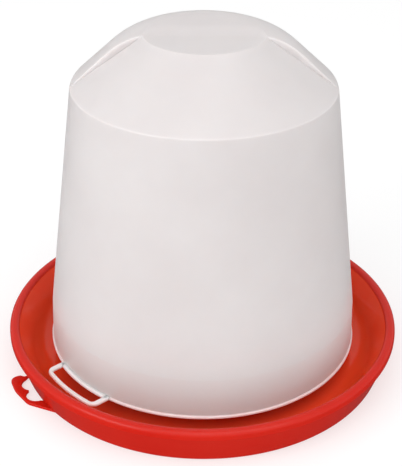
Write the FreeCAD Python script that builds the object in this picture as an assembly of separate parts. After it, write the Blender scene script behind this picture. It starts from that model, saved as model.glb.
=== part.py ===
import FreeCAD, Part
import math
import os

# Poultry waterer fount: a vacuum drinker made of two plastic mouldings.
# The frame is +Z up, with the origin on the ground at the centre of the tray. -Y is the front.
# All sizes are in millimetres. A "bearing" is an angle in degrees round +Z, measured from -Y
# towards +X, so that a negative bearing is on the left of the front.

# Drinking tray: an inner bowl and an outer skirt that meet at a rounded lip.
WALL = 2.4
LIP_RADIUS = 167.5
LIP_TOP = 34.5
LIP_WIDTH = 8.3
LIP_DROP = 7.0
LIP_THICKNESS = 3.8
LIP_OUTER_ROUND = 3.9
LIP_INNER_ROUND = 3.6
LIP_LEDGE = 1.0
RIM_LEAN = 0.3
SKIRT_TOP_RADIUS = 165.7
SKIRT_BOTTOM_RADIUS = 156.6
FOOT_EDGE_ROUND = 3.0
FOOT_WIDTH = 5.2
FOOT_HEIGHT = 4.0
FOOT_STEP = 1.8
FLOOR_TOP = 3.8
FLOOR_RADIUS = 143.2
BOWL_ROUND = 18.0
BOWL_TOP = 31.3
BOWL_UNDERSIDE_SHIFT = 1.8
SMALL_ROUND = 1.0
PLATEAU_TOP = 24.0
PLATEAU_RADIUS = 94.0
PLATEAU_FOOT_RADIUS = 106.0
PLATEAU_ROUND = 4.0

# Three ribs carry the fount above the tray's floor and centre it.
RIB_BEARINGS = (-81.0, 81.0, 180.0)
RIB_THICKNESS = 2.6
RIB_END_RADIUS = 130.0
RIB_SEAT_RADIUS = 126.2
LUG_RADIUS = 121.5
LUG_HEIGHT = 7.0
RIB_DRAFT = 0.5

# Finger tab in the plane of the tray's foot, with two finger scallops. Its outlines are given as
# (distance out from the axis, distance across, round).
TAB_BEARING = -63.5
TAB_THICKNESS = 2.6
TAB_ROOT = 151.1
TAB_OUTLINE = (
    (TAB_ROOT, -23.6, 0),
    (159.0, -17.8, 2.0),
    (162.5, -21.6, 3.0),
    (171.6, -21.8, 6.5),
    (172.9, -4.0, 30.0),
    (169.0, 16.8, 13.0),
    (TAB_ROOT, 38.0, 0),
)
TAB_GAP_START = -21.2
TAB_GAP_END = 21.0
SCALLOP_FAR_CENTRE = (156.4, -6.0)
SCALLOP_FAR_RADIUS = 9.4
SCALLOP_FAR_START = -68.0
SCALLOP_NEAR_CENTRE = (158.3, 9.6)
SCALLOP_NEAR_RADIUS = 8.9

# Fount: an upside-down bucket that stands on the ribs.
SEAT_Z = 19.5
JAR_WALL = 2.5
BEAD_RADIUS = 131.6
BEAD_HEIGHT = 2.2
BEAD_ROUND = 0.6
SKIRT_BAND_BOTTOM_RADIUS = 130.7
SKIRT_BAND_TOP_RADIUS = 129.4
SKIRT_BAND_TOP = 55.5
SHOULDER_RADIUS = 105.5
SHOULDER_Z = 248.9
CROWN_TOP = 292.9
REAR_CONE_TOP_RADIUS = 58.8
REAR_DOME_ROUND = 60.0
REAR_SHOULDER_ROUND = 8.0
FRONT_TOP = 290.8
FRONT_TOP_RADIUS = 48.5
FRONT_EDGE_ROUND = 1.6
STEP_Y = -11.0

# Grip loop at the fount's mouth.
LOOP_BEARING = -48.6
LOOP_ROOT = 123.6
LOOP_REACH = 147.5
LOOP_BAR = 3.6
LOOP_HALF_WIDTH = 32.3
LOOP_SLOT_HALF_WIDTH = 27.8
LOOP_THICKNESS = 3.0
LOOP_CORNER_ROUND = 7.0
LOOP_INNER_BAR_RADIUS = 133.5
LOOP_EDGE_ROUND = 1.2

UP = FreeCAD.Vector(0, 0, 1)
CENTRE = FreeCAD.Vector(0, 0, 0)


def rounded_wire(corners, place):
    """Closed wire through (a, b, round) corners, where place(a, b) gives the point in space."""
    count = len(corners)
    starts = []
    middles = []
    ends = []
    for i in range(count):
        a, b, radius = corners[i]
        corner = FreeCAD.Vector(a, b, 0)
        before = FreeCAD.Vector(corners[i - 1][0], corners[i - 1][1], 0) - corner
        after = FreeCAD.Vector(corners[(i + 1) % count][0], corners[(i + 1) % count][1], 0) - corner
        before.normalize()
        after.normalize()
        half = before.getAngle(after) / 2
        back = radius / math.tan(half) if radius else 0.0
        starts.append(corner + before * back)
        ends.append(corner + after * back)
        bisector = before + after
        if radius:
            bisector.normalize()
            middles.append(corner + bisector * (radius / math.sin(half) - radius))
        else:
            middles.append(None)
    edges = []
    for i in range(count):
        start = place(starts[i].x, starts[i].y)
        end = place(ends[i].x, ends[i].y)
        if middles[i]:
            middle = place(middles[i].x, middles[i].y)
            edges.append(Part.Arc(start, middle, end).toShape())
        following = starts[(i + 1) % count]
        target = place(following.x, following.y)
        if end.distanceToPoint(target) > 1e-6:
            edges.append(Part.LineSegment(end, target).toShape())
    return Part.Wire(edges)


def section_point(radius, z):
    return FreeCAD.Vector(radius, 0, z)


def plan_point(x, y):
    return FreeCAD.Vector(x, y, 0)


def turned(corners):
    """Solid of revolution about Z of a section given as (radius, z, round) corners."""
    face = Part.Face(rounded_wire(corners, section_point))
    return face.revolve(CENTRE, UP, 360)


def plate(corners, bottom, thickness):
    """Flat plate whose outline is given as (x, y, round) corners."""
    face = Part.Face(rounded_wire(corners, plan_point))
    face.translate(UP * bottom)
    return face.extrude(UP * thickness)


def to_bearing(shape, bearing):
    """Turns a shape that points along +X so that it points along the bearing."""
    shape.rotate(CENTRE, UP, bearing - 90)
    return shape


def offset_inward(points, distance):
    """Parallel copy of an open (radius, z) polyline, on the side of the axis and the ground."""
    lines = []
    for (r0, z0), (r1, z1) in zip(points, points[1:]):
        length = math.hypot(r1 - r0, z1 - z0)
        nr = (z1 - z0) / length * distance
        nz = -(r1 - r0) / length * distance
        lines.append((r0 + nr, z0 + nz, r1 - r0, z1 - z0))
    moved = [(points[0][0], lines[0][1])]
    for (ra, za, dra, dza), (rb, zb, drb, dzb) in zip(lines, lines[1:]):
        t = ((rb - ra) * dzb - (zb - za) * drb) / (dra * dzb - dza * drb)
        moved.append((ra + t * dra, za + t * dza))
    last = lines[-1]
    moved.append((last[0] + last[2], last[1] + last[3]))
    return moved


def tray_shell():
    """Bowl, lip, skirt and central plateau as one turned wall, open underneath."""
    lip_inner = LIP_RADIUS - LIP_WIDTH
    lip_foot = LIP_TOP - LIP_DROP
    under_lip = LIP_TOP - LIP_THICKNESS
    skirt_inside = SKIRT_TOP_RADIUS - WALL
    under_floor = FLOOR_TOP - WALL
    under_plateau = PLATEAU_TOP - WALL
    section = [
        (0, under_plateau, 0),
        (0, PLATEAU_TOP, 0),
        (PLATEAU_RADIUS, PLATEAU_TOP, PLATEAU_ROUND),
        (PLATEAU_FOOT_RADIUS, FLOOR_TOP, PLATEAU_ROUND),
        (FLOOR_RADIUS, FLOOR_TOP, BOWL_ROUND),
        (lip_inner, BOWL_TOP, 0),
        (lip_inner + RIM_LEAN, LIP_TOP, LIP_INNER_ROUND),
        (LIP_RADIUS, LIP_TOP, LIP_OUTER_ROUND),
        (LIP_RADIUS, lip_foot, SMALL_ROUND),
        (SKIRT_TOP_RADIUS, lip_foot - LIP_LEDGE, 0),
        (SKIRT_BOTTOM_RADIUS, 0, FOOT_EDGE_ROUND),
        (SKIRT_BOTTOM_RADIUS - FOOT_WIDTH, 0, 0),
        (SKIRT_BOTTOM_RADIUS - FOOT_STEP, FOOT_HEIGHT, 0),
        (skirt_inside, under_lip - FOOT_HEIGHT, 0),
        (skirt_inside, under_lip, SMALL_ROUND),
        (lip_inner + WALL, under_lip, SMALL_ROUND),
        (FLOOR_RADIUS + BOWL_UNDERSIDE_SHIFT, under_floor, BOWL_ROUND + WALL),
        (PLATEAU_FOOT_RADIUS - WALL, under_floor, PLATEAU_ROUND),
        (PLATEAU_RADIUS - WALL, under_plateau, PLATEAU_ROUND - SMALL_ROUND),
    ]
    return turned(section)


def rib():
    """Radial rib with a seat for the fount's mouth and a centring lug just inside it."""
    bottom = FLOOR_TOP - WALL / 2
    side = [
        (PLATEAU_FOOT_RADIUS - WALL / 2, bottom),
        (RIB_END_RADIUS, bottom),
        (RIB_END_RADIUS - RIB_DRAFT, SEAT_Z),
        (RIB_SEAT_RADIUS, SEAT_Z),
        (RIB_SEAT_RADIUS - RIB_DRAFT, SEAT_Z + LUG_HEIGHT),
        (LUG_RADIUS, SEAT_Z + LUG_HEIGHT),
        (PLATEAU_RADIUS - WALL, PLATEAU_TOP - WALL / 2),
    ]
    points = [FreeCAD.Vector(r, -RIB_THICKNESS / 2, z) for r, z in side]
    face = Part.Face(Part.makePolygon(points + points[:1]))
    return face.extrude(FreeCAD.Vector(0, RIB_THICKNESS, 0))


def finger_tab():
    """Flat tab along +X with a gap that two fingertips fit."""
    far_u, far_v = SCALLOP_FAR_CENTRE
    near_u, near_v = SCALLOP_NEAR_CENTRE
    start = math.radians(SCALLOP_FAR_START)
    start_u = far_u + SCALLOP_FAR_RADIUS * math.cos(start)
    start_v = far_v + SCALLOP_FAR_RADIUS * math.sin(start)
    throat = [
        (TAB_ROOT, TAB_GAP_START, 0),
        (start_u, start_v, 0),
        (far_u, far_v, 0),
        (near_u, near_v, 0),
        (near_u, near_v + SCALLOP_NEAR_RADIUS, 0),
        (TAB_ROOT, TAB_GAP_END, 0),
    ]
    deep = 3 * TAB_THICKNESS
    tab = plate(TAB_OUTLINE, 0, TAB_THICKNESS).cut(plate(throat, -TAB_THICKNESS, deep))
    for centre, radius in (
        (SCALLOP_FAR_CENTRE, SCALLOP_FAR_RADIUS),
        (SCALLOP_NEAR_CENTRE, SCALLOP_NEAR_RADIUS),
    ):
        place = FreeCAD.Vector(centre[0], centre[1], -TAB_THICKNESS)
        tab = tab.cut(Part.makeCylinder(radius, deep, place))
    return tab


def drinking_tray():
    """Tray with its ribs and its finger tab, as one moulding."""
    shell = tray_shell()
    tab = to_bearing(finger_tab(), TAB_BEARING)
    core = Part.makeCylinder(SKIRT_BOTTOM_RADIUS - WALL, 2 * TAB_THICKNESS)
    pieces = [tab.cut(core)]
    for bearing in RIB_BEARINGS:
        pieces.append(to_bearing(rib(), bearing))
    return shell.fuse(pieces).removeSplitter()


def jar_side(z_bottom):
    """Outside of the fount's wall from the shoulder down, as (radius, z) points."""
    return [
        (SHOULDER_RADIUS, SHOULDER_Z),
        (SKIRT_BAND_TOP_RADIUS, SKIRT_BAND_TOP),
        (SKIRT_BAND_BOTTOM_RADIUS, z_bottom),
    ]


def jar_block(crown, rounds, z_bottom):
    """Solid of revolution under a crown and the fount's wall."""
    points = crown + jar_side(z_bottom)
    corners = [(0, z_bottom, 0)]
    for (radius, z), round_size in zip(points, rounds):
        corners.append((radius, z, round_size))
    return turned(corners)


def jar_hollow(crown, rounds, z_bottom):
    """Inside of the fount under the same crown and wall, moved in by the wall's thickness."""
    outside = list(reversed(crown + jar_side(z_bottom)))
    inside = list(reversed(offset_inward(outside, -JAR_WALL)))
    corners = [(0, z_bottom, 0)]
    for (radius, z), round_size in zip(inside, rounds):
        corners.append((radius, z, round_size))
    return turned(corners)


def half_space(y_from, y_to):
    """Box that holds the part of the fount between two planes across Y."""
    size = 4 * LIP_RADIUS
    return Part.makeBox(size, y_to - y_from, size, FreeCAD.Vector(-size / 2, y_from, -LIP_RADIUS))


def jar_body():
    """Upside-down bucket: a domed crown behind the step and a straight cone in front of it."""
    rear = [(0, CROWN_TOP), (REAR_CONE_TOP_RADIUS, CROWN_TOP)]
    front = [(0, FRONT_TOP), (FRONT_TOP_RADIUS, FRONT_TOP)]
    rear_rounds = [0, REAR_DOME_ROUND, REAR_SHOULDER_ROUND, 0, 0]
    front_rounds = [0, FRONT_EDGE_ROUND, FRONT_EDGE_ROUND, 0, 0]
    inner_rear_rounds = [0, REAR_DOME_ROUND - JAR_WALL, REAR_SHOULDER_ROUND - JAR_WALL, 0, 0]
    inner_front_rounds = [0, FRONT_EDGE_ROUND, FRONT_EDGE_ROUND, 0, 0]
    reach = 2 * LIP_RADIUS
    outside = jar_block(rear, rear_rounds, SEAT_Z).common(half_space(STEP_Y, reach))
    outside = outside.fuse(jar_block(front, front_rounds, SEAT_Z).common(half_space(-reach, STEP_Y)))
    low = SEAT_Z - 2 * BEAD_HEIGHT
    inner_step = STEP_Y + JAR_WALL
    inside = jar_hollow(rear, inner_rear_rounds, low).common(half_space(inner_step, reach))
    inside = inside.fuse(jar_hollow(front, inner_front_rounds, low).common(half_space(-reach, inner_step)))
    bead_root = SKIRT_BAND_BOTTOM_RADIUS - JAR_WALL / 2
    bead = turned(
        [
            (bead_root, SEAT_Z, 0),
            (BEAD_RADIUS, SEAT_Z, BEAD_ROUND),
            (BEAD_RADIUS, SEAT_Z + BEAD_HEIGHT, BEAD_ROUND),
            (bead_root, SEAT_Z + BEAD_HEIGHT, 0),
        ]
    )
    return outside.fuse(bead), inside


def loop_blank(half_width, reach, bottom, thickness):
    """Plate along +X between the loop's root and an arc round the axis."""
    outline = [
        (LOOP_ROOT, -half_width, 0),
        (2 * LOOP_REACH, -half_width, 0),
        (2 * LOOP_REACH, half_width, 0),
        (LOOP_ROOT, half_width, 0),
    ]
    disc = Part.makeCylinder(reach, 2 * thickness, UP * (bottom - thickness / 2))
    return plate(outline, bottom, thickness).common(disc)


def grip_loop():
    """Flat loop along +X, round-edged, that a finger or a hook goes through."""
    frame = loop_blank(LOOP_HALF_WIDTH, LOOP_REACH, SEAT_Z, LOOP_THICKNESS)
    slot_bottom = SEAT_Z - LOOP_THICKNESS
    slot = loop_blank(LOOP_SLOT_HALF_WIDTH, LOOP_REACH - LOOP_BAR, slot_bottom, 3 * LOOP_THICKNESS)
    slot = slot.cut(Part.makeCylinder(LOOP_INNER_BAR_RADIUS, 3 * LOOP_THICKNESS, UP * slot_bottom))
    outer_corners = upright_edges(frame, BEAD_RADIUS + LOOP_CORNER_ROUND)
    inner_corners = upright_edges(slot, BEAD_RADIUS + LOOP_CORNER_ROUND)
    frame = frame.makeFillet(LOOP_CORNER_ROUND, outer_corners)
    slot = slot.makeFillet(LOOP_CORNER_ROUND - LOOP_BAR, inner_corners)
    loop = frame.cut(slot)
    return loop.makeFillet(LOOP_EDGE_ROUND, level_edges(loop, LOOP_ROOT + LOOP_EDGE_ROUND))


def upright_edges(shape, min_radius):
    """Vertical straight edges further from the axis than min_radius."""
    found = []
    for edge in shape.Edges:
        box = edge.BoundBox
        if box.ZLength > 1 and box.XLength < 1e-3 and math.hypot(box.XMin, box.YMin) > min_radius:
            found.append(edge)
    return found


def level_edges(shape, min_x):
    """Edges in the top and bottom planes that don't lie on the cut side of the loop."""
    found = []
    for edge in shape.Edges:
        box = edge.BoundBox
        if box.ZLength < 1e-3 and box.XMax > min_x:
            found.append(edge)
    return found


def fount_jar():
    """Fount with its bead and grip loop, as one moulding."""
    body, inside = jar_body()
    loop = to_bearing(grip_loop(), LOOP_BEARING)
    return body.fuse(loop).cut(inside).removeSplitter()


def export(shape, name):
    if len(shape.Solids) != 1 or not shape.isValid():
        raise ValueError(name + " is not one valid solid")
    solid = shape.Solids[0]
    print(name, round(solid.Volume / 1000, 1), "cm3", solid.BoundBox)
    solid.exportStep("parts/" + name + ".step")


os.makedirs("parts", exist_ok=True)
export(drinking_tray(), "drinking_tray")
export(fount_jar(), "fount_jar")
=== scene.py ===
import math

import bmesh
import bpy
from mathutils import Matrix, Vector


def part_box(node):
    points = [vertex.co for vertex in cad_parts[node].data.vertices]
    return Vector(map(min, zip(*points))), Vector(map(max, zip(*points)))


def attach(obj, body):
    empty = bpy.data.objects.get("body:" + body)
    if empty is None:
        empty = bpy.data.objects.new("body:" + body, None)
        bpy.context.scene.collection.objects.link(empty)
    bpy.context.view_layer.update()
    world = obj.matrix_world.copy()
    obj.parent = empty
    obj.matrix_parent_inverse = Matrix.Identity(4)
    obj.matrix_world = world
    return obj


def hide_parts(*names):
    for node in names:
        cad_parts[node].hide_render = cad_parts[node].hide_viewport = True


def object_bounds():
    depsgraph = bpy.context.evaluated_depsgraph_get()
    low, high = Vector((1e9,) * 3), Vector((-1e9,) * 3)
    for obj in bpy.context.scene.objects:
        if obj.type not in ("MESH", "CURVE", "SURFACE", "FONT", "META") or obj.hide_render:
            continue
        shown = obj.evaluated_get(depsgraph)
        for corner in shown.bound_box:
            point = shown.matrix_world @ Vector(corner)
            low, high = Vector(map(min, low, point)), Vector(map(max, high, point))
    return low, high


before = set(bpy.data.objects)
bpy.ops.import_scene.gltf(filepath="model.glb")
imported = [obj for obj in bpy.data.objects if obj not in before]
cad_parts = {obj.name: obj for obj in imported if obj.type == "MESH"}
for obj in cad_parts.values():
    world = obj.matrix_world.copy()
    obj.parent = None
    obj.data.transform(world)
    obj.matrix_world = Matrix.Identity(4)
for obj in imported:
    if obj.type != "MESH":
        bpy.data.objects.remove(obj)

cad_low, cad_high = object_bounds()
MM = 0.001

# Sizes that come from the frame, in metres. -Y is the front, and z is 0 on the ground.
JAR_LOW, JAR_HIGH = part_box("fount_jar")
TRAY_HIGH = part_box("drinking_tray")[1]
MOUTH_Z = JAR_LOW.z
CROWN_TOP = JAR_HIGH.z
BEAD_RADIUS = JAR_HIGH.y
LIP_RADIUS = TRAY_HIGH.x
LIP_TOP = 34.5 * MM

# Fount.
JAR_WALL = 2.5 * MM
BEAD_DEPTH = 2.2 * MM
BEAD_HEIGHT = 2.2 * MM
BEAD_ROUND = 0.6 * MM
BAND_BOTTOM_RADIUS = BEAD_RADIUS - 0.9 * MM
BAND_TOP_RADIUS = BEAD_RADIUS - 2.2 * MM
BAND_TOP = MOUTH_Z + 36.0 * MM
SHOULDER_RADIUS = BEAD_RADIUS - 26.1 * MM
SHOULDER_Z = CROWN_TOP - 44.0 * MM
REAR_TOP_RADIUS = 58.8 * MM
REAR_DOME_ROUND = 60.0 * MM
REAR_SHOULDER_ROUND = 8.0 * MM
FRONT_TOP = CROWN_TOP - 2.1 * MM
FRONT_TOP_RADIUS = 48.5 * MM
FRONT_EDGE_ROUND = 1.6 * MM
STEP_Y = -11.0 * MM
CROWN_STEPS = 12
CROWN_ROW_GAP = 1.0 * MM
SHOULDER_MARGIN = 4.0 * MM
BAND_TOP_ROUND = 12.0 * MM
MOUTH_INNER_ROUND = 0.5 * MM
BEAD_ROOT_ROUND = 0.25 * MM

# The crown's step: its rounded top, the same in the crown's middle where the step is a soft rise,
# and the shares of the front top's radius between which one changes into the other.
STEP_BAND = 1.0 * MM
STEP_BAND_MIDDLE = 22.0 * MM
STEP_FOOT = 0.15 * MM
STEP_SOFT_SHARE = 0.86
STEP_CHANGE_SHARE = 0.18

# Grip loop at the fount's mouth.
LOOP_BEARING = -48.6
LOOP_THICKNESS = 3.0 * MM
LOOP_BAR = 3.6 * MM
LOOP_REACH = 147.5 * MM
LOOP_HALF_WIDTH = 32.3 * MM
LOOP_CORNER = 5.4 * MM
LOOP_INNER_BAR_RADIUS = 133.5 * MM
LOOP_ARM_INSET = 2.25 * MM
LOOP_ARM_WIDENING = 0.25
LOOP_SQUARENESS = 0.62
LOOP_SIDES = 24

# Drinking tray.
TRAY_WALL = 2.4 * MM
LIP_WIDTH = 8.3 * MM
LIP_DEPTH = 7.0 * MM
LIP_LEDGE = 1.0 * MM
LIP_THICKNESS = 3.8 * MM
LIP_OUTER_ROUND = 3.9 * MM
LIP_INNER_ROUND = 3.0 * MM
LIP_LEAN = 0.3 * MM
BOWL_TOP = LIP_TOP - 3.2 * MM
BOWL_TOP_ROUND = 1.5 * MM
BOWL_ROUND = 18.0 * MM
BOWL_UNDERSIDE_SHIFT = 1.8 * MM
SKIRT_TOP_RADIUS = LIP_RADIUS - 1.8 * MM
SKIRT_BOTTOM_RADIUS = LIP_RADIUS - 10.9 * MM
FOOT_EDGE_ROUND = 3.0 * MM
FOOT_WIDTH = 5.2 * MM
FOOT_STEP = 1.8 * MM
FOOT_HEIGHT = 4.0 * MM
EDGE_ROUND = 1.0 * MM
SMALL_ROUND = 0.8 * MM
FINE_ROUND = 0.4 * MM
FLOOR_TOP = 3.8 * MM
FLOOR_RADIUS = 143.2 * MM
PLATEAU_TOP = 24.0 * MM
PLATEAU_RADIUS = 94.0 * MM
PLATEAU_FOOT_RADIUS = 106.0 * MM
PLATEAU_ROUND = 4.0 * MM
TRAY_COLUMNS = 400

# Ribs under the fount, and the finger tab in the plane of the tray's foot.
RIB_BEARINGS = (-81.0, 81.0, 180.0)
RIB_THICKNESS = 2.6 * MM
RIB_END_RADIUS = 130.0 * MM
RIB_SEAT_RADIUS = 126.2 * MM
RIB_LUG_RADIUS = 121.5 * MM
RIB_LUG_HEIGHT = 7.0 * MM
RIB_END_DRAFT = 0.5 * MM
RIB_LUG_DRAFT = 0.6 * MM
RIB_BEVEL = 0.35 * MM
TAB_BEARING = -63.5
TAB_THICKNESS = 2.6 * MM
TAB_REACH = 172.6 * MM
TAB_ROOT_RADIUS = 155.5 * MM
TAB_BEVEL = 0.45 * MM

# Meshing: the angle above which an edge stays sharp, and the distance at which points merge.
SHARP_ANGLE = math.radians(38)
MERGE_DISTANCE = 0.002 * MM

# Camera, from the place where the two outlines of tray and fount have the right perspective.
CAMERA_PLACE = Vector((0.0, -843.85 * MM, 596.35 * MM))
CAMERA_TILT = 0.5202
CAMERA_YAW = -0.0021
CAMERA_ROLL = 0.0063
CAMERA_LENS = 88.98

# Studio: brightness of the surroundings below the horizon, above it in front, and above it
# behind. The lights' places are in metres from the origin.
WORLD_BELOW = 0.08
WORLD_ABOVE = 0.92
WORLD_BEHIND = 0.60
KEY_PLACE = (-1.95, -1.45, 1.6)
KEY_POWER = 21.5
TOP_PLACE = (0.35, -1.1, 2.2)
TOP_POWER = 15.5


def rounded(corners, steps=8):
    """Points along an open line of (a, b) or (a, b, round) corners, each round an arc."""
    points = [Vector(corners[0][:2])]
    for before, here, after in zip(corners, corners[1:], corners[2:]):
        corner = Vector(here[:2])
        if len(here) < 3:
            points.append(corner)
            continue
        back = (Vector(before[:2]) - corner).normalized()
        ahead = (Vector(after[:2]) - corner).normalized()
        half = back.angle(ahead) / 2
        reach = here[2] / math.tan(half)
        centre = corner + (back + ahead).normalized() * (here[2] / math.sin(half))
        start = corner + back * reach - centre
        sweep = start.angle_signed(corner + ahead * reach - centre)
        for i in range(steps + 1):
            points.append(centre + Matrix.Rotation(-sweep * i / steps, 2) @ start)
    points.append(Vector(corners[-1][:2]))
    return points


def offset(corners, distance, rounds):
    """Parallel copy of an open line of corners, to its right, with rounds of its own."""
    lines = []
    for p, q in zip(corners, corners[1:]):
        p, q = Vector(p[:2]), Vector(q[:2])
        along = (q - p).normalized()
        lines.append((p + Vector((along.y, -along.x)) * distance, along))
    moved = [tuple(lines[0][0])]
    for (p, along), (q, other), size in zip(lines, lines[1:], rounds):
        t = (q - p).cross(other) / along.cross(other)
        place = p + along * t
        moved.append((place.x, place.y, size) if size else (place.x, place.y))
    end = Vector(corners[-1][:2])
    last, along = lines[-1]
    moved.append(tuple(last + along * (end - last).dot(along)))
    return moved


def height_at(points, radius):
    """Height of a crown's outline at a radius."""
    for p, q in zip(points, points[1:]):
        if p.x <= radius <= q.x:
            return p.y + (q.y - p.y) * (radius - p.x) / max(q.x - p.x, 1e-9)
    raise ValueError("no such radius on the outline")


def smoothstep(t):
    t = min(1.0, max(0.0, t))
    return t * t * (3 - 2 * t)


def spread(start, end, count):
    """count values from start to end, both included."""
    return [start + (end - start) * i / (count - 1) for i in range(count)]


def make_object(name, bm, body, material):
    """Smooth-shaded object from a bmesh, riding on a body."""
    bmesh.ops.remove_doubles(bm, verts=bm.verts, dist=MERGE_DISTANCE)
    bmesh.ops.recalc_face_normals(bm, faces=bm.faces)
    mesh = bpy.data.meshes.new(name)
    bm.to_mesh(mesh)
    bm.free()
    mesh.polygons.foreach_set("use_smooth", [True] * len(mesh.polygons))
    mesh.set_sharp_from_angle(angle=SHARP_ANGLE)
    mesh.materials.append(material)
    obj = bpy.data.objects.new(name, mesh)
    bpy.context.scene.collection.objects.link(obj)
    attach(obj, body)
    return obj


def add_bevel(obj, width, segments):
    bevel = obj.modifiers.new("edge_round", "BEVEL")
    bevel.width = width
    bevel.segments = segments
    bevel.limit_method = "ANGLE"
    bevel.angle_limit = SHARP_ANGLE


def add_weighted_normals(obj):
    normals = obj.modifiers.new("even_shading", "WEIGHTED_NORMAL")
    normals.keep_sharp = True


def at_bearing(bearing, along, across, z):
    """Point at a distance out along a bearing, in degrees, and across it to the right."""
    b = math.radians(bearing)
    out = Vector((math.sin(b), -math.cos(b)))
    side = Vector((math.cos(b), math.sin(b)))
    flat = out * along + side * across
    return Vector((flat.x, flat.y, z))


# ---------------------------------------------------------------- fount

def ring_columns(radius, step_y):
    """(bearing, weight) of the columns on one half of a ring. Weight is 0 in front of the step
    and 1 behind it. It rises steeply at the step's foot and rounds off towards the top. In the
    crown's middle the step is a long soft rise instead."""
    beyond = radius - STEP_SOFT_SHARE * FRONT_TOP_RADIUS
    sharp = smoothstep(beyond / (STEP_CHANGE_SHARE * FRONT_TOP_RADIUS))
    band = STEP_BAND_MIDDLE + (STEP_BAND - STEP_BAND_MIDDLE) * sharp
    band = min(band, 0.98 * (radius - step_y))
    front_end = math.acos(min(1.0, (STEP_FOOT - step_y) / radius))
    columns = [(b, 0.0) for b in spread(0.0, front_end, 90)]
    for turn in spread(0.0, math.pi / 2, 14)[1:]:
        y = step_y + band * (1 - math.cos(turn))
        soft = smoothstep((y - step_y) / band)
        columns.append((math.acos(-y / radius), soft + (math.sin(turn) - soft) * sharp))
    columns += [(b, 1.0) for b in spread(columns[-1][0], math.pi, 100)[1:]]
    return columns


def crown_rows(front, rear, step_y, steps):
    """Rows of ((radius, z) in front, (radius, z) behind) from the crown's middle to the shoulder."""
    front_points = rounded(front, steps)
    rear_points = rounded(rear, steps)
    split = front[2][0] - SHOULDER_MARGIN
    radii = [STEP_FOOT - step_y]
    inner = radii[0] + CROWN_ROW_GAP
    radii += [p.x for p in front_points + rear_points if inner < p.x < split]
    radii = sorted(radii + [split])
    rows = []
    for r in radii:
        rows.append((Vector((r, height_at(front_points, r))), Vector((r, height_at(rear_points, r)))))
    ends = []
    for corners in (front, rear):
        start = (split, height_at(rounded(corners, steps), split))
        ends.append(rounded([start] + corners[2:4], steps)[1:-1])
    rows += list(zip(*ends))
    return rows


def jar_rows():
    """Rows of the whole fount: out over the crown, down the wall, round the mouth, up the inside."""
    wall = [(SHOULDER_RADIUS, SHOULDER_Z), (BAND_TOP_RADIUS, BAND_TOP), (BAND_BOTTOM_RADIUS, MOUTH_Z)]
    front = [(0.0, FRONT_TOP), (FRONT_TOP_RADIUS, FRONT_TOP, FRONT_EDGE_ROUND)]
    front += [wall[0] + (FRONT_EDGE_ROUND,)] + wall[1:]
    rear = [(0.0, CROWN_TOP), (REAR_TOP_RADIUS, CROWN_TOP, REAR_DOME_ROUND)]
    rear += [wall[0] + (REAR_SHOULDER_ROUND,)] + wall[1:]
    thin = JAR_WALL
    front_inside = offset(front, thin, (FRONT_EDGE_ROUND, FRONT_EDGE_ROUND, 0.0))
    rear_inside = offset(rear, thin, (REAR_DOME_ROUND - thin, REAR_SHOULDER_ROUND - thin, 0.0))
    outside = crown_rows(front, rear, STEP_Y, CROWN_STEPS)
    inside = crown_rows(front_inside, rear_inside, STEP_Y + thin, CROWN_STEPS)
    bead_top = MOUTH_Z + BEAD_HEIGHT
    inner_mouth = front_inside[-1][0]
    inner_band = front_inside[-2]
    mouth = rounded(
        [
            (BAND_TOP_RADIUS - 1.2 * MM, BAND_TOP + 10.0 * MM),
            (BAND_TOP_RADIUS, BAND_TOP, BAND_TOP_ROUND),
            (BAND_BOTTOM_RADIUS - 0.1 * MM, bead_top, BEAD_ROOT_ROUND),
            (BEAD_RADIUS, bead_top, BEAD_ROUND),
            (BEAD_RADIUS, MOUTH_Z, BEAD_ROUND),
            (inner_mouth, MOUTH_Z, MOUTH_INNER_ROUND),
            (inner_band[0], inner_band[1]),
        ],
        6,
    )
    rows = [(a, b, STEP_Y) for a, b in outside]
    rows += [(p, p, STEP_Y) for p in mouth]
    rows += [(a, b, STEP_Y + thin) for a, b in reversed(inside)]
    return rows


def build_jar(material):
    bm = bmesh.new()
    rings = []
    for front, rear, step_y in jar_rows():
        ring = []
        for bearing, weight in ring_columns(max(front.x, rear.x), step_y):
            place = front.lerp(rear, weight)
            ring.append((math.sin(bearing) * place.x, -math.cos(bearing) * place.x, place.y))
        mirrored = [(-x, y, z) for x, y, z in reversed(ring[1:-1])]
        rings.append([bm.verts.new(v) for v in ring + mirrored])
    count = len(rings[0])
    for upper, lower in zip(rings, rings[1:]):
        for i in range(count):
            j = (i + 1) % count
            bm.faces.new((upper[i], upper[j], lower[j], lower[i]))
    for ring in (rings[0], rings[-1]):
        for i in range(count // 2):
            corners = (ring[i], ring[i + 1], ring[(-i - 1) % count], ring[-i % count])
            faces = []
            for v in corners:
                if v not in faces:
                    faces.append(v)
            if len(faces) > 2:
                bm.faces.new(faces)
    bmesh.ops.dissolve_degenerate(bm, dist=MERGE_DISTANCE, edges=bm.edges)
    jar = make_object("fount_shell", bm, "fount", material)
    add_weighted_normals(jar)
    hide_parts("fount_jar")
    return jar


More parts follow.
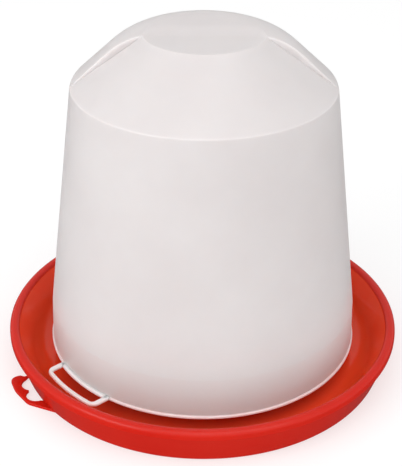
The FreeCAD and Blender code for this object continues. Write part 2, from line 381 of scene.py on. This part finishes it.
def add_bar(bm, line, half_widths):
    """Bar of rounded section along a flat line in the loop's plane, with a half width per point."""
    half_height = LOOP_THICKNESS / 2
    rings = []
    for i, point in enumerate(line):
        before = line[max(0, i - 1)]
        after = line[min(len(line) - 1, i + 1)]
        along = (after - before).normalized()
        side = Vector((along.y, -along.x))
        ring = []
        for k in range(LOOP_SIDES):
            t = 2 * math.pi * (k + 0.5) / LOOP_SIDES
            c, s = math.cos(t), math.sin(t)
            across = half_widths[i] * math.copysign(abs(c) ** LOOP_SQUARENESS, c)
            up = half_height * math.copysign(abs(s) ** LOOP_SQUARENESS, s)
            flat = point + side * across
            z = MOUTH_Z + half_height + up
            ring.append(bm.verts.new(at_bearing(LOOP_BEARING, flat.x, flat.y, z)))
        rings.append(ring)
    for ring, following in zip(rings, rings[1:]):
        for k in range(LOOP_SIDES):
            j = (k + 1) % LOOP_SIDES
            bm.faces.new((ring[k], ring[j], following[j], following[k]))
    bm.faces.new(rings[0])
    bm.faces.new(rings[-1])


def bar_line(radius, half_angle, count):
    """Points of an arc round the axis, in the loop's plane."""
    angles = spread(-half_angle, half_angle, count)
    return [Vector((radius * math.cos(a), radius * math.sin(a))) for a in angles]


def build_loop(material):
    """Bar that leaves the mouth, follows it and comes back, and an inner bar along the bead."""
    line_radius = LOOP_REACH - LOOP_BAR / 2
    line_half = LOOP_HALF_WIDTH - LOOP_ARM_INSET
    root = math.sqrt((BEAD_RADIUS - BEAD_DEPTH) ** 2 - line_half**2)
    half_angle = math.asin(line_half / line_radius)
    corner = line_radius * math.cos(half_angle)
    path = [(root, -line_half), (corner, -line_half, LOOP_CORNER)]
    path += [tuple(p) for p in bar_line(line_radius, half_angle * 0.78, 25)]
    path += [(corner, line_half, LOOP_CORNER), (root, line_half)]
    line = rounded(path, 10)
    widths = []
    for point in line:
        on_arm = smoothstep((line_radius - 3 * MM - point.x) / (5 * MM))
        widths.append(LOOP_BAR / 2 * (1.0 + LOOP_ARM_WIDENING * on_arm))
    bm = bmesh.new()
    add_bar(bm, line, widths)
    inner_half = (LOOP_INNER_BAR_RADIUS - BEAD_RADIUS + BEAD_DEPTH) / 2
    inner_radius = LOOP_INNER_BAR_RADIUS - inner_half
    inner_line = bar_line(inner_radius, math.asin(line_half / inner_radius), 41)
    add_bar(bm, inner_line, [inner_half] * len(inner_line))
    return make_object("fount_grip_loop", bm, "fount", material)


# ---------------------------------------------------------------- tray

def turned(outline, columns):
    """bmesh of a closed surface turned round Z from an outline that starts and ends on the axis."""
    bm = bmesh.new()
    rings = []
    for point in outline:
        if point.x < 1e-7:
            rings.append([bm.verts.new((0, 0, point.y))] * columns)
            continue
        ring = []
        for i in range(columns):
            a = 2 * math.pi * i / columns
            ring.append(bm.verts.new((point.x * math.cos(a), point.x * math.sin(a), point.y)))
        rings.append(ring)
    for ring, following in zip(rings, rings[1:]):
        for i in range(columns):
            j = (i + 1) % columns
            corners = []
            for v in (ring[i], ring[j], following[j], following[i]):
                if v not in corners:
                    corners.append(v)
            bm.faces.new(corners)
    return bm


def build_tray(material):
    """Inner bowl and outer skirt that meet at the lip, as one turned wall."""
    under_floor = FLOOR_TOP - TRAY_WALL
    lip_inner = LIP_RADIUS - LIP_WIDTH
    lip_foot = LIP_TOP - LIP_DEPTH
    under_lip = LIP_TOP - LIP_THICKNESS
    skirt_inside = SKIRT_TOP_RADIUS - TRAY_WALL
    outline = rounded(
        [
            (0.0, PLATEAU_TOP),
            (PLATEAU_RADIUS, PLATEAU_TOP, PLATEAU_ROUND),
            (PLATEAU_FOOT_RADIUS, FLOOR_TOP, PLATEAU_ROUND),
            (FLOOR_RADIUS, FLOOR_TOP, BOWL_ROUND),
            (lip_inner, BOWL_TOP, BOWL_TOP_ROUND),
            (lip_inner + LIP_LEAN, LIP_TOP, LIP_INNER_ROUND),
            (LIP_RADIUS, LIP_TOP, LIP_OUTER_ROUND),
            (LIP_RADIUS, lip_foot, SMALL_ROUND),
            (SKIRT_TOP_RADIUS, lip_foot - LIP_LEDGE, FINE_ROUND),
            (SKIRT_BOTTOM_RADIUS, 0.0, FOOT_EDGE_ROUND),
            (SKIRT_BOTTOM_RADIUS - FOOT_WIDTH, 0.0, FINE_ROUND),
            (SKIRT_BOTTOM_RADIUS - FOOT_STEP, FOOT_HEIGHT, EDGE_ROUND),
            (skirt_inside, under_lip - FOOT_HEIGHT, EDGE_ROUND),
            (skirt_inside, under_lip, SMALL_ROUND),
            (lip_inner + 2.0 * MM, under_lip, SMALL_ROUND),
            (FLOOR_RADIUS + BOWL_UNDERSIDE_SHIFT, under_floor, BOWL_ROUND + TRAY_WALL),
            (PLATEAU_FOOT_RADIUS - TRAY_WALL, under_floor, PLATEAU_ROUND),
            (PLATEAU_RADIUS - TRAY_WALL, PLATEAU_TOP - TRAY_WALL, PLATEAU_ROUND - EDGE_ROUND),
            (0.0, PLATEAU_TOP - TRAY_WALL),
        ],
        8,
    )
    mesh = turned(outline, TRAY_COLUMNS)
    tray = make_object("tray_bowl", mesh, "tray", material)
    add_weighted_normals(tray)
    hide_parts("drinking_tray")
    return tray


def extruded(name, flat, thickness, place, material):
    """Plate from a flat outline, where place(a, b, height) gives the point in space."""
    bm = bmesh.new()
    low = [bm.verts.new(place(a, b, 0.0)) for a, b in flat]
    high = [bm.verts.new(place(a, b, thickness)) for a, b in flat]
    bm.faces.new(low)
    bm.faces.new(high)
    for i in range(len(flat)):
        j = (i + 1) % len(flat)
        bm.faces.new((low[i], low[j], high[j], high[i]))
    return make_object(name, bm, "tray", material)


def build_rib(number, bearing, material):
    """Radial rib with a seat for the fount's mouth and a centring lug inside it."""
    bottom = FLOOR_TOP - TRAY_WALL / 2
    side = [
        (PLATEAU_FOOT_RADIUS - TRAY_WALL / 2, bottom),
        (RIB_END_RADIUS, bottom),
        (RIB_END_RADIUS - RIB_END_DRAFT, MOUTH_Z),
        (RIB_SEAT_RADIUS, MOUTH_Z),
        (RIB_SEAT_RADIUS - RIB_LUG_DRAFT, MOUTH_Z + RIB_LUG_HEIGHT),
        (RIB_LUG_RADIUS, MOUTH_Z + RIB_LUG_HEIGHT),
        (PLATEAU_RADIUS - TRAY_WALL, PLATEAU_TOP - TRAY_WALL / 2),
    ]

    def place(radius, z, across):
        return at_bearing(bearing, radius, across - RIB_THICKNESS / 2, z)

    rib = extruded(f"tray_rib_{number}", side, RIB_THICKNESS, place, material)
    add_bevel(rib, RIB_BEVEL, 3)
    return rib


def arc(centre, radius, start, end, count=16):
    """Points of an arc, between two angles in degrees."""
    points = []
    for angle in spread(math.radians(start), math.radians(end), count):
        points.append((centre[0] + radius * math.cos(angle), centre[1] + radius * math.sin(angle)))
    return points


def at_root(across):
    """Point of the tab's root, inside the skirt's wall."""
    return (math.sqrt(TAB_ROOT_RADIUS**2 - across**2), across)


def build_tab(material):
    """Flat tab with a gap that has two finger scallops, which meet in a cusp."""
    far, far_radius = (TAB_REACH - 16.2 * MM, -6.0 * MM), 9.4 * MM
    near, near_radius = (TAB_REACH - 14.3 * MM, 9.6 * MM), 8.9 * MM
    edge = rounded(
        [
            at_root(-21.4 * MM),
            (TAB_REACH - 13.6 * MM, -17.8 * MM, 2.0 * MM),
            (TAB_REACH - 10.1 * MM, -21.6 * MM, 3.0 * MM),
            (TAB_REACH - 1.0 * MM, -21.8 * MM, 6.5 * MM),
            (TAB_REACH + 0.3 * MM, -4.0 * MM, 30.0 * MM),
            (TAB_REACH - 3.6 * MM, 16.8 * MM, 13.0 * MM),
            at_root(38.0 * MM),
        ],
        12,
    )
    gap = [at_root(-18.8 * MM)]
    gap += arc(far, far_radius, -68, 49.1)
    gap += arc(near, near_radius, -62.2, 90)
    gap.append(at_root(21.0 * MM))
    flat = [tuple(p) for p in edge] + gap[::-1]

    def place(along, across, z):
        return at_bearing(TAB_BEARING, along, across, z)

    tab = extruded("tray_finger_tab", flat, TAB_THICKNESS, place, material)
    add_bevel(tab, TAB_BEVEL, 3)
    return tab


# ---------------------------------------------------------------- materials

def new_material(name):
    material = bpy.data.materials.new(name)
    material.use_nodes = True
    tree = material.node_tree
    return material, tree, tree.nodes["Principled BSDF"]


def add_noise(tree, vector, scale, detail=3.0, roughness=0.5):
    node = tree.nodes.new("ShaderNodeTexNoise")
    node.inputs["Scale"].default_value = scale
    node.inputs["Detail"].default_value = detail
    node.inputs["Roughness"].default_value = roughness
    tree.links.new(vector, node.inputs["Vector"])
    return node.outputs["Fac"]


def add_range(tree, value, low, high, out_low, out_high):
    node = tree.nodes.new("ShaderNodeMapRange")
    node.inputs["From Min"].default_value = low
    node.inputs["From Max"].default_value = high
    node.inputs["To Min"].default_value = out_low
    node.inputs["To Max"].default_value = out_high
    tree.links.new(value, node.inputs["Value"])
    return node.outputs["Result"]


def add_mix(tree, share, first, second):
    """Colour between two colours. Each may be a tuple or an output."""
    node = tree.nodes.new("ShaderNodeMix")
    node.data_type = "RGBA"
    tree.links.new(share, node.inputs["Factor"])
    for key, colour in (("A", first), ("B", second)):
        socket = next(s for s in node.inputs if s.name == key and s.type == "RGBA")
        if isinstance(colour, tuple):
            socket.default_value = colour + (1.0,)
        else:
            tree.links.new(colour, socket)
    return next(s for s in node.outputs if s.type == "RGBA")


def add_bump(tree, height, strength, distance, before=None):
    node = tree.nodes.new("ShaderNodeBump")
    node.inputs["Strength"].default_value = strength
    node.inputs["Distance"].default_value = distance
    tree.links.new(height, node.inputs["Height"])
    if before:
        tree.links.new(before, node.inputs["Normal"])
    return node.outputs["Normal"]


def object_coordinates(tree):
    return tree.nodes.new("ShaderNodeTexCoord").outputs["Object"]


def add_math(tree, operation, first, second):
    """Sum, product or other result of two numbers. Each may be a number or an output."""
    node = tree.nodes.new("ShaderNodeMath")
    node.operation = operation
    for socket, value in zip(node.inputs, (first, second)):
        if isinstance(value, (int, float)):
            socket.default_value = value
        else:
            tree.links.new(value, socket)
    return node.outputs[0]


def radius_and_height(tree, where):
    """Distance from the axis, and height, of a point of the object."""
    parts = tree.nodes.new("ShaderNodeSeparateXYZ")
    tree.links.new(where, parts.inputs[0])
    across = add_math(tree, "MULTIPLY", parts.outputs["X"], parts.outputs["X"])
    deep = add_math(tree, "MULTIPLY", parts.outputs["Y"], parts.outputs["Y"])
    radius = add_math(tree, "SQRT", add_math(tree, "ADD", across, deep), 0.0)
    return radius, parts.outputs["Z"]


# Reds of the tray and whites of the fount, as pairs where the plastic wanders between two.
SKIRT_REDS = (0.565, 0.012, 0.0045), (0.60, 0.015, 0.0055)
# The bowl's reds are lighter and more orange than the skirt's: painted fill light and warm bounce in
# the shaded bowl.
BOWL_PAINTED_LIGHT_REDS = (0.89, 0.060, 0.018), (0.93, 0.068, 0.022)
# Red of the trough low in the bowl, a little darker than the rest of the bowl and still lighter than
# the skirt: painted fill light.
CHANNEL_PAINTED_LIGHT_RED = (0.86, 0.068, 0.020)
SCUFF_RED = (0.86, 0.12, 0.08)
FOUNT_WHITES = (0.675, 0.628, 0.625), (0.715, 0.672, 0.668)
# Greyer, darker white that the fount fades to over its lowest 50 mm: painted shade from the tray
# around it.
LOW_PAINTED_SHADE_WHITE = (0.58, 0.645, 0.635)
# Near-white of the loop, the bead's outer edge and the mouth's bottom: painted light, for light
# through the thin plastic.
PAINTED_LIGHT_WHITE = (0.93, 0.94, 0.92)
PAINTED_SHADE_HEIGHT = 50.0 * MM
FLOOR_WHITE = (0.45, 0.45, 0.45, 1.0)
FLOOR_GLOW = 0.56
BOWL_LEAN = 0.46
BOWL_EDGE = 150.0 * MM
BOWL_POLISH = 0.10


def red_plastic():
    """Glossy red polyethylene with faint flow marks, a fine moulded grain and light scuffs.
    The bowl is more polished than the skirt. Its lighter, more orange red, and the red of the trough
    at its bottom, are painted fill light in the shaded bowl."""
    material, tree, shader = new_material("red_polyethylene")
    where = object_coordinates(tree)
    radius, height = radius_and_height(tree, where)
    between = add_math(tree, "SUBTRACT", radius, add_math(tree, "MULTIPLY", height, BOWL_LEAN))
    in_bowl = add_range(tree, between, BOWL_EDGE - 1.0 * MM, BOWL_EDGE + 1.0 * MM, 1.0, 0.0)
    under_lip = add_range(tree, height, LIP_TOP - 3.5 * MM, LIP_TOP - 1.5 * MM, 1.0, 0.0)
    bowl = add_math(tree, "MULTIPLY", in_bowl, under_lip)
    flow = add_noise(tree, where, 14.0, 4.0, 0.6)
    grain = add_noise(tree, where, 1400.0, 2.0)
    waves = add_noise(tree, where, 38.0, 1.0)
    scuffs = add_noise(tree, where, 620.0, 5.0, 0.7)
    streaks = add_range(tree, flow, 0.35, 0.65, 0.0, 1.0)
    skirt_colour = add_mix(tree, streaks, *SKIRT_REDS)
    # Painted fill light: the bowl, under the lip, takes a lighter, more orange red than the skirt.
    bowl_painted_light_colour = add_mix(tree, streaks, *BOWL_PAINTED_LIGHT_REDS)
    # Painted fill light: towards the bottom of the trough, below 22 mm, the bowl fades to a red of
    # its own.
    channel = add_range(tree, height, 6.0 * MM, 22.0 * MM, 1.0, 0.0)
    bowl_painted_light_colour = add_mix(tree, channel, bowl_painted_light_colour, CHANNEL_PAINTED_LIGHT_RED)
    colour = add_mix(tree, bowl, skirt_colour, bowl_painted_light_colour)
    marks = add_range(tree, scuffs, 0.60, 0.80, 0.0, 0.16)
    colour = add_mix(tree, marks, colour, SCUFF_RED)
    tree.links.new(colour, shader.inputs["Base Color"])
    skirt_gloss = add_range(tree, flow, 0.3, 0.7, 0.19, 0.26)
    polish = add_math(tree, "MULTIPLY", bowl, BOWL_POLISH)
    tree.links.new(add_math(tree, "SUBTRACT", skirt_gloss, polish), shader.inputs["Roughness"])
    shader.inputs["IOR"].default_value = 1.51
    shader.inputs["Specular IOR Level"].default_value = 0.26
    shader.inputs["Subsurface Weight"].default_value = 0.4
    shader.inputs["Subsurface Radius"].default_value = (1.0, 0.25, 0.15)
    shader.inputs["Subsurface Scale"].default_value = 4.0 * MM
    normal = add_bump(tree, waves, 0.12, 2.0 * MM)
    normal = add_bump(tree, grain, 0.10, 0.05 * MM, normal)
    tree.links.new(normal, shader.inputs["Normal"])
    return material


def milky_plastic():
    """Satin milky polyethylene, slightly see-through, with faint clouding and a fine grain.
    Painted shade darkens its lowest 50 mm, where the tray shades it, and painted light makes the
    thinner mouth, bead and loop lighter, for light through the thin plastic."""
    material, tree, shader = new_material("milky_polyethylene")
    where = object_coordinates(tree)
    clouds = add_noise(tree, where, 9.0, 4.0, 0.55)
    grain = add_noise(tree, where, 1100.0, 2.0)
    waves = add_noise(tree, where, 24.0, 1.0)
    radius, height = radius_and_height(tree, where)
    # Painted shade: the fount darkens towards its mouth over the lowest 50 mm, where the tray shades
    # it.
    low = add_range(tree, height, MOUTH_Z, MOUTH_Z + PAINTED_SHADE_HEIGHT, 1.0, 0.0)
    mottle = add_range(tree, clouds, 0.35, 0.65, 0.0, 1.0)
    colour = add_mix(tree, mottle, *FOUNT_WHITES)
    colour = add_mix(tree, low, colour, LOW_PAINTED_SHADE_WHITE)
    # Painted light: the bead's outer edge, the loop and the bottom of the mouth take a near-white.
    painted_light_mask = add_range(tree, radius, BEAD_RADIUS - 0.7 * MM, BEAD_RADIUS - 0.2 * MM, 0.0, 1.0)
    loop_top = MOUTH_Z + LOOP_THICKNESS
    at_mouth = add_range(tree, height, loop_top, loop_top + 0.3 * MM, 1.0, 0.0)
    painted_light_mask = add_math(tree, "MAXIMUM", painted_light_mask, at_mouth)
    colour = add_mix(tree, painted_light_mask, colour, PAINTED_LIGHT_WHITE)
    tree.links.new(colour, shader.inputs["Base Color"])
    gloss = add_range(tree, clouds, 0.3, 0.7, 0.29, 0.37)
    tree.links.new(gloss, shader.inputs["Roughness"])
    shader.inputs["IOR"].default_value = 1.5
    shader.inputs["Sheen Weight"].default_value = 0.22
    shader.inputs["Sheen Roughness"].default_value = 0.35
    shader.inputs["Subsurface Weight"].default_value = 0.8
    shader.inputs["Subsurface Radius"].default_value = (1.0, 0.9, 0.85)
    shader.inputs["Subsurface Scale"].default_value = 6.0 * MM
    normal = add_bump(tree, waves, 0.10, 2.0 * MM)
    normal = add_bump(tree, grain, 0.08, 0.05 * MM, normal)
    tree.links.new(normal, shader.inputs["Normal"])
    return material


# ---------------------------------------------------------------- studio

def build_floor():
    """Wide pale floor under the drinker, which glows a little so that shadows on it stay soft."""
    bm = bmesh.new()
    bmesh.ops.create_grid(bm, x_segments=4, y_segments=4, size=20.0)
    mesh = bpy.data.meshes.new("studio_floor")
    bm.to_mesh(mesh)
    bm.free()
    floor = bpy.data.objects.new("studio_floor", mesh)
    bpy.context.scene.collection.objects.link(floor)
    material, tree, shader = new_material("pale_floor")
    shader.inputs["Base Color"].default_value = FLOOR_WHITE
    shader.inputs["Emission Color"].default_value = (1.0, 1.0, 1.0, 1.0)
    shader.inputs["Emission Strength"].default_value = FLOOR_GLOW
    shader.inputs["Roughness"].default_value = 0.9
    shader.inputs["Specular IOR Level"].default_value = 0.2
    mesh.materials.append(material)
    floor.visible_glossy = False


def add_soft_light(name, place, target, width, height, power):
    light = bpy.data.lights.new(name, "AREA")
    light.shape = "RECTANGLE"
    light.size = width
    light.size_y = height
    light.energy = power
    obj = bpy.data.objects.new(name, light)
    bpy.context.scene.collection.objects.link(obj)
    obj.location = place
    obj.rotation_mode = "QUATERNION"
    obj.rotation_quaternion = (Vector(target) - Vector(place)).to_track_quat("-Z", "Y")


def build_light():
    world = bpy.data.worlds.new("studio_world")
    bpy.context.scene.world = world
    world.use_nodes = True
    tree = world.node_tree
    background = tree.nodes["Background"]
    direction = tree.nodes.new("ShaderNodeTexCoord").outputs["Generated"]
    parts = tree.nodes.new("ShaderNodeSeparateXYZ")
    tree.links.new(direction, parts.inputs[0])
    up = add_range(tree, parts.outputs["Z"], -0.06, -0.01, 0.0, 1.0)
    behind = add_range(tree, parts.outputs["Y"], -0.4, 0.6, 0.0, 1.0)
    sky = add_mix(tree, behind, (WORLD_ABOVE,) * 3, (WORLD_BEHIND,) * 3)
    surroundings = add_mix(tree, up, (WORLD_BELOW,) * 3, sky)
    tree.links.new(surroundings, background.inputs["Color"])
    middle = (cad_low + cad_high) / 2
    add_soft_light("key", KEY_PLACE, middle, 1.8, 1.6, KEY_POWER)
    add_soft_light("top", TOP_PLACE, middle, 2.2, 2.2, TOP_POWER)


def build_camera():
    forward = Vector(
        (
            math.sin(CAMERA_YAW) * math.cos(CAMERA_TILT),
            math.cos(CAMERA_YAW) * math.cos(CAMERA_TILT),
            -math.sin(CAMERA_TILT),
        )
    )
    right = Vector((math.cos(CAMERA_YAW), -math.sin(CAMERA_YAW), 0.0))
    up = right.cross(forward)
    x_axis = right * math.cos(CAMERA_ROLL) + up * math.sin(CAMERA_ROLL)
    y_axis = up * math.cos(CAMERA_ROLL) - right * math.sin(CAMERA_ROLL)
    turn = Matrix((x_axis, y_axis, -forward)).transposed()
    data = bpy.data.cameras.new("camera")
    data.lens = CAMERA_LENS
    data.sensor_width = 36.0
    camera = bpy.data.objects.new("camera", data)
    bpy.context.scene.collection.objects.link(camera)
    camera.matrix_world = Matrix.Translation(CAMERA_PLACE) @ turn.to_4x4()
    data.clip_start = 0.01
    data.clip_end = 50.0
    bpy.context.scene.camera = camera


red = red_plastic()
milky = milky_plastic()
build_jar(milky)
build_loop(milky)
build_tray(red)
for index, rib_bearing in enumerate(RIB_BEARINGS):
    build_rib(index + 1, rib_bearing, red)
build_tab(red)
build_floor()
build_light()
build_camera()
bpy.context.scene.view_settings.view_transform = "Standard"
